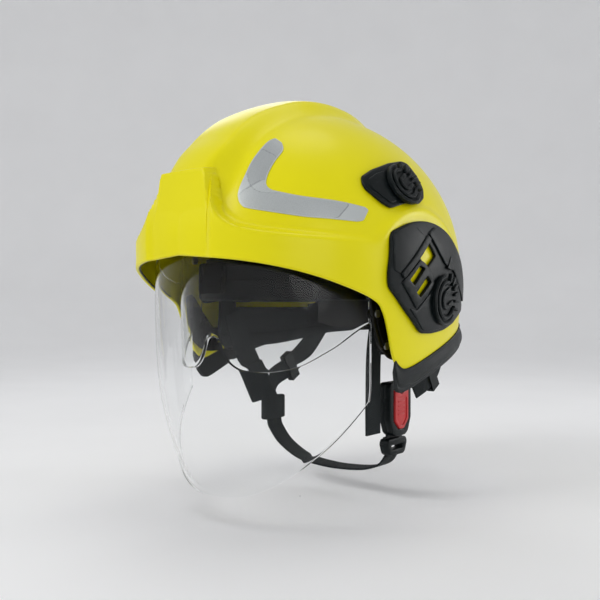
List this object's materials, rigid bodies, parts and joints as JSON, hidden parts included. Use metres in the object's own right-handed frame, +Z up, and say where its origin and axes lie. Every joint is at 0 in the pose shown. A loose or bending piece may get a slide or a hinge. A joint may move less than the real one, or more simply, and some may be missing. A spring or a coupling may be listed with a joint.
{
  "type": "firefighter helmet",
  "caption": "Structural firefighting helmet with flip-up face shield, inner eye visor, side accessory sockets, ratchet headband and buckled chin strap.",
  "frame": {"origin": "centre of the head opening at brow height, on the mid-plane", "axes": "+Z up along the head, -Y to the front (face), +X to the wearer's left"},
  "size_m": [0.256, 0.3081, 0.3142],
  "materials": {
    "shell_paint": "fluorescent yellow satin-gloss moulded thermoplastic",
    "rubber": "matte black edge rubber",
    "reflective_tape": "grey retroreflective film with segment seams",
    "black_plastic": "satin black glass-filled nylon",
    "smoked_plastic": "smoked dark polycarbonate",
    "frame_plastic": "matte black moulded plastic",
    "steel": "passivated steel fasteners",
    "foam": "dense black impact foam",
    "padding": "dark grey knitted padding cover",
    "leather": "soft black leather",
    "webbing": "dark grey woven webbing",
    "clear_shield": "clear hard-coated polycarbonate",
    "clear_ocular": "clear, faintly grey polycarbonate",
    "red_plastic": "red moulded plastic",
    "knob_rubber": "soft-touch black grip"
  },
  "bodies": {
    "helmet": {"outer_shell": "shell_paint", "front_plate": "shell_paint", "brow_seal": "rubber", "edge_trim": "rubber", "tape_left": "reflective_tape", "tape_right": "reflective_tape", "tape_rear": "reflective_tape", "side_cover_left": "black_plastic", "side_cover_right": "black_plastic", "upper_cover_left": "black_plastic", "upper_cover_right": "black_plastic", "lower_socket_left": "black_plastic", "lower_socket_right": "black_plastic", "upper_socket_left": "black_plastic", "upper_socket_right": "black_plastic", "cover_screws": "steel", "impact_liner": "foam", "harness_frame": "frame_plastic", "headband": "frame_plastic", "brow_pad": "leather", "headband_rivets": "steel", "crown_strap_side": "webbing", "crown_strap_long": "webbing", "crown_pad": "padding", "side_lining_left": "padding", "side_lining_right": "padding", "shield_rails": "frame_plastic", "ocular_brackets": "frame_plastic", "ocular_pins": "steel", "nape_guides": "frame_plastic", "front_strap_left": "webbing", "rear_strap_left": "webbing", "front_strap_right": "webbing", "rear_strap_right": "webbing", "strap_anchors": "frame_plastic", "strap_sliders": "black_plastic", "strap_sheath": "padding", "buckle_housing": "black_plastic", "button_spring": "steel"},
    "shield_carriage": {"shield_carriages": "frame_plastic", "shield_pins": "steel"},
    "shield": {"face_shield": "clear_shield", "shield_lip": "clear_shield", "shield_arm_left": "smoked_plastic", "shield_arm_right": "smoked_plastic", "shield_screws": "steel"},
    "eye_visor": {"ocular_visor": "clear_ocular", "ocular_arm_left": "black_plastic", "ocular_arm_right": "black_plastic", "ocular_tab": "smoked_plastic"},
    "nape": {"nape_band": "frame_plastic", "nape_pad": "leather", "ratchet_housing": "frame_plastic"},
    "knob": {"ratchet_knob": "knob_rubber"},
    "button": {"release_button": "red_plastic"},
    "chin_strap": {"buckle_tongue": "black_plastic", "strap_adjuster": "black_plastic", "chin_webbing": "webbing"}
  },
  "joints": [
    {"name": "shield_lift", "type": "slide", "parent": "helmet", "child": "shield_carriage", "axis": [0, 0, 1], "range_m": [0, 0.0121]},
    {"name": "shield_hinge", "type": "hinge", "parent": "shield_carriage", "child": "shield", "pos_m": [0, 0.04, -0.075], "axis": [-1, 0, 0], "range_deg": [0, 50]},
    {"name": "eye_visor_hinge", "type": "hinge", "parent": "helmet", "child": "eye_visor", "pos_m": [0, 0.02, -0.028], "axis": [-1, 0, 0], "range_deg": [0, 28]},
    {"name": "nape_slide", "type": "slide", "parent": "helmet", "child": "nape", "axis": [0, -1, 0], "range_m": [0, 0.0101]},
    {"name": "ratchet_turn", "type": "hinge", "parent": "nape", "child": "knob", "pos_m": [0, 0.126, -0.056], "axis": [0, 1, 0], "range_deg": [0, 360]},
    {"name": "button_press", "type": "slide", "parent": "helmet", "child": "button", "axis": [-1, 0, 0], "range_m": [0, 0.002], "stiffness_N_per_m": 500, "springref_m": -0.0005},
    {"name": "chin_release", "type": "slide", "parent": "helmet", "child": "chin_strap", "axis": [0, 0, -1], "range_m": [0, 0.018]}
  ],
  "couplings": [
    {"joint": "shield_lift", "follows": "shield_hinge", "m_per_rad": 0.013751},
    {"joint": "nape_slide", "follows": "ratchet_turn", "m_per_rad": 0.0015915}
  ]
}
